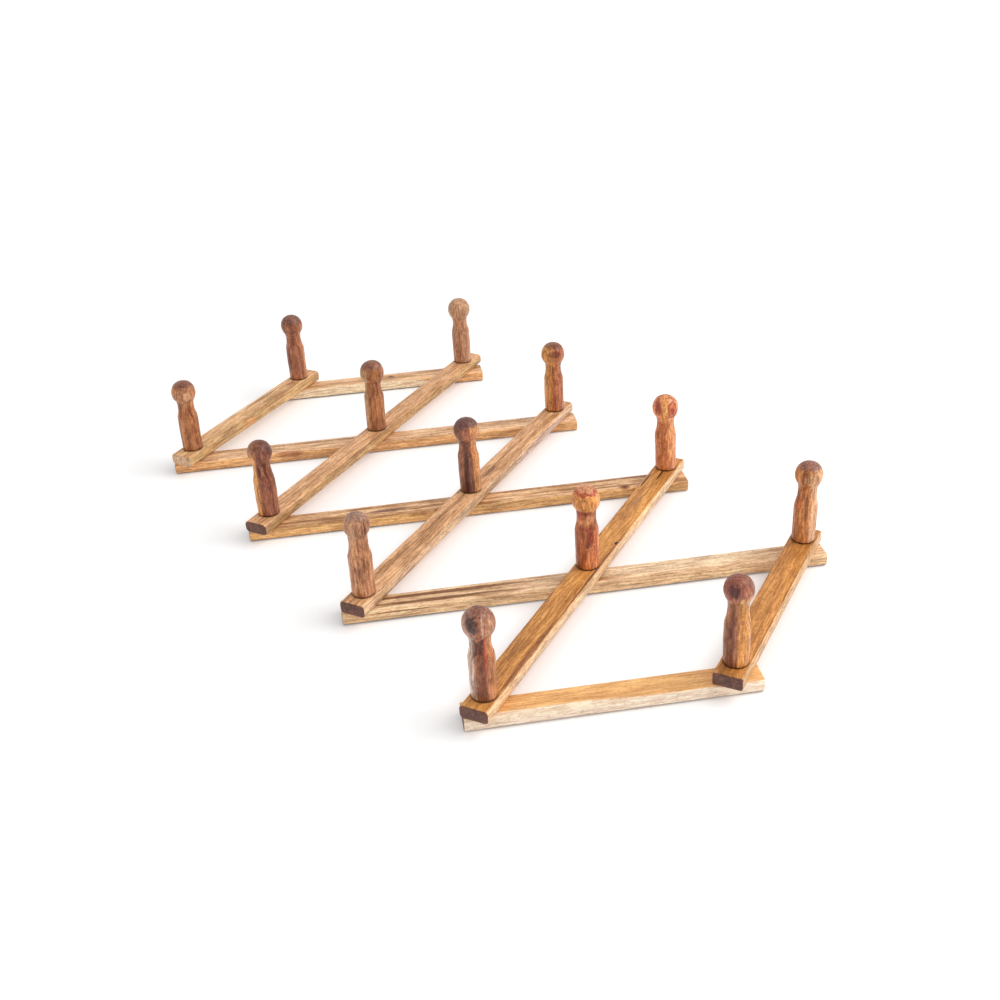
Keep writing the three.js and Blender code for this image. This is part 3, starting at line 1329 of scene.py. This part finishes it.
def front_slats() -> tuple[Slat, ...]:
    """The five slats that carry the pegs, from the row's left end."""
    return (
        Slat(1, Layer.FRONT, (1, 2), WoodFinish(
            (0.88, 0.53, 0.26), (0.45, 0.23, 0.085), ring_centre=(30.0, -14.0), marks=(
                near_side((0.62, 0.38, 0.17)),
                shaded_near_end(17, (0.62, 0.40, 0.24), figure=0.45),
                Patch((106, 4.5, 9), (30, 2.4, 6), (0.34, 0.18, 0.09), strength=0.7),
                Patch((145, -1, 9), (9, 3.0, 6), (0.42, 0.14, 0.06), strength=0.6),
                Patch((68, -10, 5), (14, 2.0, 4), (0.72, 0.33, 0.10), strength=0.8),
            )), overhangs=(17, 18.9)),
        Slat(2, Layer.FRONT, (5, 4, 3), WoodFinish(
            (0.80, 0.45, 0.23), (0.53, 0.275, 0.12), ring_centre=(40.0, 8.0), marks=(
                near_side((0.57, 0.33, 0.14)),
                shaded_near_end(18.7),
                Patch((126, -9.6, 9), (84, 1.3, 1.3), (0.16, 0.06, 0.03), strength=0.8,
                      wander=0.25),
            )), overhangs=(18.7, 19.6), edge_radius=3.6 * MM),
        Slat(3, Layer.FRONT, (8, 7, 6), WoodFinish(
            (0.83, 0.47, 0.24), (0.44, 0.215, 0.085), ring_gap=2.0, streak_strength=0.75, marks=(
                near_side((0.67, 0.43, 0.25)),
                shaded_near_end(16),
                Patch((160, 1.0, 9), (190, 0.9, 4), (0.36, 0.15, 0.06), strength=0.6, wander=0.5),
                Patch((192, -0.5, 9), (14, 2.4, 4), (0.20, 0.085, 0.045), strength=0.8),
                Patch((270, -10, 4), (70, 1.6, 5), (0.50, 0.33, 0.28), strength=0.75),
            )), overhangs=(16, 17.8), edge_radius=3 * MM),
        Slat(4, Layer.FRONT, (11, 10, 9), WoodFinish(
            (0.70, 0.32, 0.083), (0.37, 0.14, 0.030), ring_gap=4.0, ring_centre=(-28.0, -18.0),
            streak_strength=0.42, marks=(
                near_side((0.80, 0.53, 0.30)),
                shaded_near_end(15.2),
                Patch((50, -7.4, 9), (52, 2.6, 4), (0.24, 0.08, 0.025), strength=0.8),
                Patch((44, 1.5, 9), (44, 5.5, 5), (0.38, 0.145, 0.035), strength=0.55),
                Patch((150, -8.3, 9), (90, 0.8, 3), (0.15, 0.05, 0.02), strength=0.85, wander=0.35),
                Patch((195, -7.6, 9.5), (2.6, 1.3, 2), DARK_MARK_AND_SHADE, soft=0.3, wander=0.3),
                Patch((293, 6.6, 9.5), (15, 0.9, 2), DARK_MARK_AND_SHADE, soft=0.35, wander=0.5),
                Patch((306, -0.6, 9.5), (12, 1.0, 2), DARK_MARK_AND_SHADE, soft=0.35, wander=0.5),
                Patch((260, 1, 9), (13, 3.5, 3), (0.40, 0.19, 0.09), strength=0.5),
            )), overhangs=(15.2, 17.9), edge_radius=2.8 * MM),
        Slat(5, Layer.FRONT, (13, 12), WoodFinish(
            (0.69, 0.305, 0.083), (0.39, 0.153, 0.033), ring_gap=2.4, streak_strength=0.5, marks=(
                Patch((75, -8.6, 9.5), (95, 0.8, 2), (0.30, 0.11, 0.03), strength=0.75, wander=0.3),
                near_side((0.66, 0.39, 0.185)),
                shaded_near_end(16.4),
            )), overhangs=(16.4, 16), edge_radius=1.8 * MM),
    )


def rear_slats() -> tuple[Slat, ...]:
    """The five slats behind, from the row's left end."""
    return (
        Slat(1, Layer.REAR, (2, 3), WoodFinish(
            (0.95, 0.58, 0.32), (0.53, 0.29, 0.13), marks=(
                near_side((0.80, 0.42, 0.18)),
                shaded_near_end(16.5),
                Patch((52, -10, 4), (84, 2.4, 10), (0.96, 0.72, 0.48), soft=0.2, figure=0.15),
                painted_contact_shadow(0.9),
                Patch((89, 0.5, 9), (4, 2.4, 4), (0.42, 0.18, 0.08), DARK_MARK_AND_SHADE, 1.6),
                Patch((130, -10, 5), (5, 1.4, 5), (0.24, 0.08, 0.04), strength=0.8),
            )), overhangs=(16.5, 18.1)),
        Slat(2, Layer.REAR, (1, 4, 6), WoodFinish(
            (0.96, 0.61, 0.36), (0.51, 0.28, 0.135), streak_strength=0.7, marks=(
                near_side((0.77, 0.41, 0.17)),
                shaded_near_end(16.9),
                painted_contact_shadow(0.6),
                Patch((82, -9.0, 8), (17, 2.4, 4), (0.36, 0.13, 0.05), strength=0.8),
                Patch((4, -7.5, 9), (24, 2.2, 4), (0.40, 0.16, 0.07), strength=0.7),
            )), overhangs=(16.9, 18.7)),
        Slat(3, Layer.REAR, (5, 7, 9), WoodFinish(
            (0.96, 0.60, 0.33), (0.38, 0.175, 0.065), ring_gap=2.6, streak_strength=0.75,
            tilt=(-0.03, 0.01), marks=(
                near_side((0.74, 0.42, 0.168)),
                shaded_near_end(17.3, (0.20, 0.095, 0.06), figure=0.5),
                Patch((92, -1.5, 9), (19, 2.8, 5), (0.22, 0.11, 0.085), strength=0.9),
                Patch((26, -4.5, 9), (36, 3.0, 5), (0.44, 0.21, 0.08), strength=0.6),
                Patch((284, -7.5, 9), (6, 2.8, 4), (0.34, 0.12, 0.05), DARK_MARK_AND_SHADE, 1.4),
                Patch((276, -5, 9), (38, 1.4, 4), (0.26, 0.10, 0.04), strength=0.75),
                painted_contact_shadow(0.7),
            )), overhangs=(17.3, 16.7)),
        Slat(4, Layer.REAR, (8, 10, 12), WoodFinish(
            (0.96, 0.66, 0.40), (0.46, 0.24, 0.11), ring_strength=0.7,
            tilt=(0.05, 0.02), marks=(
                near_side((0.87, 0.57, 0.32)),
                shaded_near_end(17),
                Patch((215, 3, 9), (100, 10, 6), (0.96, 0.70, 0.46), strength=0.8, figure=0.18),
                Patch((58, 3.5, 9), (80, 2.8, 5), (0.24, 0.10, 0.035), strength=0.95, wander=1.4),
                Patch((52, -4.0, 9), (62, 2.2, 5), (0.27, 0.12, 0.04), strength=0.9, wander=1.4),
                Patch((24, -10, 7), (30, 1.4, 0.8), (0.20, 0.08, 0.035), strength=0.85, wander=0.2),
                painted_contact_shadow(0.9),
            )), overhangs=(17, 16.1)),
        Slat(5, Layer.REAR, (11, 13), WoodFinish(
            (0.97, 0.54, 0.21), (0.68, 0.34, 0.12), streak_strength=0.5, grain_depth=0.4,
            marks=(
                near_side((0.96, 0.76, 0.59), figure=0.12),
                Patch((30, -9.2, 9), (80, 4.0, 4), (0.96, 0.74, 0.54), figure=0.15),
                shaded_near_end(15),
                painted_contact_shadow(0.6),
            )), overhangs=(15, 16.7)),
    )


def peg_wood(light: Colour, dark: Colour, *marks: Mark, **more: object) -> WoodFinish:
    """Wood turned across its rings, so that they close into ovals on the ball.

    Args:
        light: the colour between the rings.
        dark: the colour of the rings and streaks.
        *marks: its own marks, under the painted shadow round its foot.
        **more: other settings of the finish.

    Returns:
        The finish.
    """
    settings = {"ring_gap": 2.6, "ring_centre": (3.0, 26.0), "ring_strength": 0.75,
                "streak_strength": 0.40, "mottle": 0.60, "wander": 6.0, "shortness": 1.6,
                "grain_depth": 0.72, "gloss": 0.36}
    # the last mark is the painted shadow round the peg's foot
    return WoodFinish(light, dark, marks=(*marks, painted_foot_shadow()), **(settings | more))


def pegs() -> tuple[Peg, ...]:
    """The thirteen pegs, each turned from wood of its own."""
    return (
        Peg(1, peg_wood(
            (0.55, 0.23, 0.083), (0.22, 0.058, 0.024),
            Patch((50, 1, -9), (11, 12, 12), (0.54, 0.25, 0.12), strength=0.8),
            Patch((51, 2.5, -9.5), (6.5, 5.0, 7), (0.38, 0.16, 0.075), (0.66, 0.36, 0.19), 0.75,
                  soft=0.2, wander=0.3),
            cap(58.5, (0.25, 0.10, 0.07), strength=0.85),
            ring_centre=(6.0, 24.0)),
            turn=71, lean=0.7, head=20.0, short=1.2, shoulder=28.7),
        Peg(2, peg_wood(
            (0.48, 0.19, 0.094), (0.18, 0.052, 0.030),
            Split((0, 1, 0), 4.5, (0.54, 0.23, 0.10), soft=1.4, strength=0.6),
            cap(57, (0.20, 0.09, 0.065), strength=0.85, soft=3.0)),
            turn=65, lean=-0.3, head=20.1, short=0.5, shoulder=30.3),
        Peg(3, peg_wood(
            (0.58, 0.29, 0.16), (0.29, 0.13, 0.065),
            Split((1, 0, 0), 47, (0.54, 0.32, 0.18), soft=3.0, strength=0.6),
            ring_centre=(-4.0, 22.0), mottle=0.35),
            turn=57, lean=-0.4, head=20.7, short=0.3, shoulder=30.1),
        Peg(4, peg_wood(
            (0.50, 0.20, 0.075), (0.19, 0.062, 0.025),
            Patch((51, -6.5, -5), (10, 4.2, 9), (0.64, 0.36, 0.17), strength=0.8),
            Patch((18, -6.4, -4), (26, 3.8, 9), (0.60, 0.33, 0.16), strength=0.8),
            cap(58, (0.21, 0.09, 0.065), strength=0.8, soft=2.4)),
            turn=62, lean=1.0, head=20.5, short=0.3, shoulder=30.2),
        Peg(5, peg_wood(
            (0.40, 0.14, 0.07), (0.11, 0.03, 0.016),
            Split((0, -1, 0.15), 3.6, (0.76, 0.34, 0.10), soft=1.0, strength=0.95),
            Patch((28, 3.5, -7), (13, 3.0, 6), (0.30, 0.09, 0.05), strength=0.6),
            cap(52, (0.17, 0.065, 0.045), strength=0.75, soft=5.0)),
            turn=68, lean=-0.2, head=18.9, short=1.5, shoulder=28.4),
        Peg(6, peg_wood(
            (0.66, 0.25, 0.095), (0.28, 0.070, 0.030),
            Split((0.05, -1, 0), 3.0, (0.76, 0.36, 0.105), soft=1.0, strength=0.8),
            Patch((22, -0.5, -8), (28, 1.2, 6), (0.34, 0.09, 0.04), strength=0.6),
            Split((0, 1, 0), 3.5, (0.40, 0.13, 0.06), soft=1.2, strength=0.6),
            Patch((55, 1.5, -9), (3.4, 7.0, 6), (0.22, 0.055, 0.03), strength=0.8),
            cap(60, (0.18, 0.065, 0.045), strength=0.85),
            ring_centre=(-2.0, 24.0)),
            turn=53, lean=-0.3, head=20.3, short=0.8),
        Peg(7, peg_wood(
            (0.38, 0.155, 0.085), (0.085, 0.025, 0.016),
            Split((0.04, 1, 0), 4.0, (0.64, 0.29, 0.105), soft=0.7, strength=0.9),
            Patch((18, -2.2, -8), (34, 2.8, 8), (0.07, 0.026, 0.024), strength=0.75, wander=0.4),
            Patch((51, -1, -9), (6.5, 9.0, 6), (0.50, 0.20, 0.11), strength=0.7),
            cap(57, (0.13, 0.055, 0.05), strength=0.9, soft=2.0)),
            turn=57, lean=-0.8, head=20.0, short=1.2),
        Peg(8, peg_wood(
            (0.66, 0.31, 0.15), (0.22, 0.08, 0.035),
            Split((1, 0, 0), 45, (0.40, 0.205, 0.12), soft=2.5, strength=0.6),
            Patch((54, 5.5, -8), (10, 0.8, 7), BARK, strength=0.85, wander=0.4),
            Patch((26, -6.4, -6), (24, 2.4, 8), (0.42, 0.18, 0.085), strength=0.6),
            Patch((54, -3.0, -8), (8, 1.5, 7), (0.62, 0.38, 0.26), strength=0.6, wander=0.4),
            cap(61, (0.30, 0.19, 0.15), strength=0.7)),
            turn=63, lean=0.5, head=18.5, short=0.0),
        Peg(9, peg_wood(
            (0.82, 0.35, 0.13), (0.40, 0.09, 0.030),
            Split((0.05, 1, 0), 3.6, (0.80, 0.36, 0.17), soft=1.0, strength=0.5),
            Patch((38, -6, -5), (11, 2.6, 8), (0.50, 0.17, 0.07), strength=0.7),
            Split((-1, 0, 0), -14, (0.62, 0.18, 0.06), soft=5.0, strength=0.5),
            Patch((55, -6.8, -6), (9, 3.6, 8), (0.38, 0.075, 0.045), strength=0.85, wander=1.1),
            Patch((54, -1.6, -9), (9, 2.2, 6), (0.86, 0.42, 0.13), strength=0.8),
            Patch((54, 4.2, -8), (8.5, 3.9, 7), (0.74, 0.24, 0.11), (0.34, 0.05, 0.03), 1.5,
                  soft=0.25, wander=1.1),
            ring_centre=(-6.0, 24.0)),
            turn=47, lean=-1.6, head=20.4, short=0.4),
        Peg(10, peg_wood(
            (0.84, 0.29, 0.09), (0.34, 0.065, 0.026),
            Split((0.25, -1, 0), 2.5, (0.34, 0.10, 0.045), soft=1.4, strength=0.8),
            Patch((26, 2.5, -8), (7, 3.4, 5), (0.36, 0.06, 0.030), strength=0.85),
            Patch((21, 0.5, -8), (4.0, 1.6, 4), DARK_MARK_AND_SHADE, strength=0.75),
            Patch((40, -1, -6), (5.0, 9, 9), (0.78, 0.34, 0.14), strength=0.75),
            Patch((33.5, 1, -8), (1.5, 8, 6), (0.34, 0.07, 0.03), strength=0.85, wander=1.0),
            Split((1, 0, 0), 46.5, (0.84, 0.36, 0.11), soft=1.0, strength=0.9),
            Patch((46.2, -3.5, -2), (4.4, 9, 11), (0.30, 0.07, 0.035), strength=0.95, wander=0.7),
            Patch((41.5, -4.6, -6), (3.4, 4.4, 7), (0.36, 0.09, 0.04), strength=0.85, wander=0.9),
            cap(59.4, (0.52, 0.10, 0.05), soft=0.8, strength=0.95),
            cap(61.4, (0.70, 0.33, 0.16), soft=0.8, strength=0.85)),
            turn=51, lean=-0.9, head=19.7, short=0.2),
        Peg(11, peg_wood(
            (0.46, 0.175, 0.08), (0.12, 0.034, 0.020),
            Split((0.02, 1, 0), 3.6, (0.62, 0.25, 0.10), soft=0.8, strength=0.8),
            Patch((20, -0.5, -8), (34, 3.4, 7), (0.24, 0.075, 0.035), strength=0.7),
            Patch((36, 2.0, -8), (16, 1.0, 7), (0.60, 0.10, 0.04), strength=0.8, wander=0.5),
            # painted highlight: a pale greyish sheen down the peg's left edge
            Split((0, -1, 0), 4.9, (0.68, 0.49, 0.40), soft=1.4, strength=0.85),
            Split((1, 0, 0), 48, (0.42, 0.17, 0.095), soft=2.0, strength=0.7),
            cap(59.5, (0.14, 0.07, 0.06), soft=2.4, strength=0.5),
            Patch((56.5, -5.0, -7), (7.5, 5.4, 8), (0.075, 0.045, 0.045), strength=0.9, wander=0.9),
            Patch((54, 5.8, -7), (8, 3.8, 7), (0.60, 0.31, 0.19), strength=0.9),
            Patch((56, 1.2, -9), (12, 0.9, 8), (0.62, 0.40, 0.29), strength=0.7, wander=0.3)),
            turn=57, lean=-1.0, head=20.7, short=-0.4),
        Peg(12, peg_wood(
            (0.68, 0.28, 0.095), (0.30, 0.095, 0.030),
            Split((0, 1, 0), 3.4, (0.78, 0.43, 0.23), soft=0.8, strength=0.9),
            Patch((30, 0.6, -8), (13, 1.5, 6), (0.15, 0.045, 0.025), strength=0.75),
            Patch((33, -4.6, -7), (7, 3.0, 6), (0.56, 0.16, 0.06), strength=0.7),
            Patch((52, 2, -9), (6, 6, 7), (0.72, 0.40, 0.20), strength=0.7),
            cap(59.2, (0.27, 0.12, 0.09), soft=1.6, strength=0.9)),
            turn=40, lean=0.5, head=19.7, short=1.0, shoulder=26.8),
        Peg(13, peg_wood(
            (0.43, 0.17, 0.078), (0.13, 0.038, 0.022),
            Split((0, 1, 0.1), -0.4, (0.70, 0.31, 0.083), soft=0.7, strength=0.95),
            Patch((33.5, 3.0, -8), (2.2, 5.5, 6), (0.42, 0.15, 0.06), strength=0.75),
            Patch((22, -3.2, -7), (26, 2.2, 7), (0.15, 0.048, 0.03), strength=0.75, wander=0.5),
            Patch((50, 4.5, -8), (5, 5, 6), (0.70, 0.38, 0.15), strength=0.9),
            Split((1, -0.25, 0), 51.5, (0.30, 0.10, 0.07), soft=1.4, strength=0.9),
            Patch((57, -3.4, -8), (5.4, 5.4, 7), (0.085, 0.028, 0.028), strength=0.9, wander=0.9),
            Patch((55, 5.4, -7), (5.0, 3.0, 6), (0.46, 0.19, 0.11), strength=0.8)),
            turn=43, lean=-0.7, head=19.3, short=0.0, shoulder=27.8),
    )


# ---------------------------------------------------------------- studio


WHITE = (1.0, 1.0, 1.0)


@dataclass(frozen=True)
class StudioCamera:
    """The camera, in metres and degrees, with its lens and sensor in millimetres."""

    place: Triple = (0.72331, -0.46944, 0.49756)
    aim: Triple = (0.02978, 0.00709, 0.0197)
    roll: float = -2.987
    lens: float = 44.389
    sensor: float = 36.0
    nearest: float = 0.02

    def build(self) -> None:
        """Adds the camera and makes it the scene's own."""
        data = bpy.data.cameras.new("studio_camera")
        data.lens = self.lens
        data.sensor_width = self.sensor
        data.clip_start = self.nearest
        camera = bpy.data.objects.new("studio_camera", data)
        line = Vector(self.aim) - Vector(self.place)
        tilt = Quaternion((0.0, 0.0, 1.0), math.radians(self.roll))
        camera.rotation_mode = "QUATERNION"
        camera.rotation_quaternion = line.to_track_quat("-Z", "Y") @ tilt
        camera.location = self.place
        bpy.context.scene.collection.objects.link(camera)
        bpy.context.scene.camera = camera


@dataclass(frozen=True)
class SoftBox:
    """One large soft lamp that looks at the rack."""

    name: str
    azimuth: float
    height: float
    distance: float
    size: float
    power: float

    def build(self) -> None:
        """Hangs the lamp and turns it to the rack."""
        lamp = bpy.data.lights.new(self.name, "AREA")
        lamp.shape = "DISK"
        lamp.size = self.size
        lamp.energy = self.power
        holder = bpy.data.objects.new(self.name, lamp)
        turn, lift = math.radians(self.azimuth), math.radians(self.height)
        flat = math.cos(lift)
        out = Vector((math.cos(turn) * flat, math.sin(turn) * flat, math.sin(lift)))
        holder.location = out * self.distance
        holder.rotation_euler = (-out).to_track_quat("-Z", "Y").to_euler()
        bpy.context.scene.collection.objects.link(holder)


@dataclass(frozen=True)
class Studio:
    """The pale floor, the white room and the lamps."""

    floor_reach: float = 40.0
    floor_colour: Colour = (0.92, 0.92, 0.92)
    floor_drop: float = 0.2 * MM
    near_glow: float = 0.13
    far_glow: float = 0.34
    near_reach: float = 0.45
    far_reach: float = 1.3
    room_light: float = 0.78
    lamps: tuple[SoftBox, ...] = (
        SoftBox("key_lamp", 50.0, 46.0, 2.2, 1.7, 26.0),
    )

    def lay_floor(self) -> None:
        """Lays a pale floor that glows a little more away from the rack."""
        Bench.clear()
        bpy.ops.mesh.primitive_plane_add(size=self.floor_reach, location=(0, 0, -self.floor_drop))
        floor = bpy.context.object
        floor.name = "studio_floor"
        bpy.ops.object.transform_apply(location=True)
        paint, sheet, shader = blank_material("floor_paint")
        away = sheet.vector("LENGTH", sheet.add("ShaderNodeTexCoord").outputs["Object"])
        glow = sheet.ramp(away, self.near_reach, self.far_reach, self.near_glow, self.far_glow,
                          "LINEAR")
        sheet.fill(shader, {"Base Color": self.floor_colour, "Roughness": 0.9,
                            "Specular IOR Level": 0.1, "Emission Color": WHITE,
                            "Emission Strength": glow})
        floor.data.materials.append(paint)

    def build(self) -> None:
        """Lays the floor, lights the room and hangs the lamps."""
        self.lay_floor()
        scene = bpy.context.scene
        world = scene.world or bpy.data.worlds.new("white_room")
        scene.world = world
        world.use_nodes = True
        sky = world.node_tree.nodes["Background"]
        sky.inputs["Color"].default_value = (*WHITE, 1.0)
        sky.inputs["Strength"].default_value = self.room_light
        for lamp in self.lamps:
            lamp.build()
        scene.view_settings.view_transform = "Standard"
        scene.view_settings.look = "None"


def main() -> None:
    """Builds the rack and the studio around it."""
    logging.basicConfig(level=logging.INFO, format="%(message)s")
    StudioCamera().build()
    Studio().build()
    shop = FinishShop()
    for slat in front_slats() + rear_slats():
        slat.build(shop)
    for peg in pegs():
        peg.build(shop)
    WasherAndScrew().build(shop)


if __name__ == "__main__":
    main()
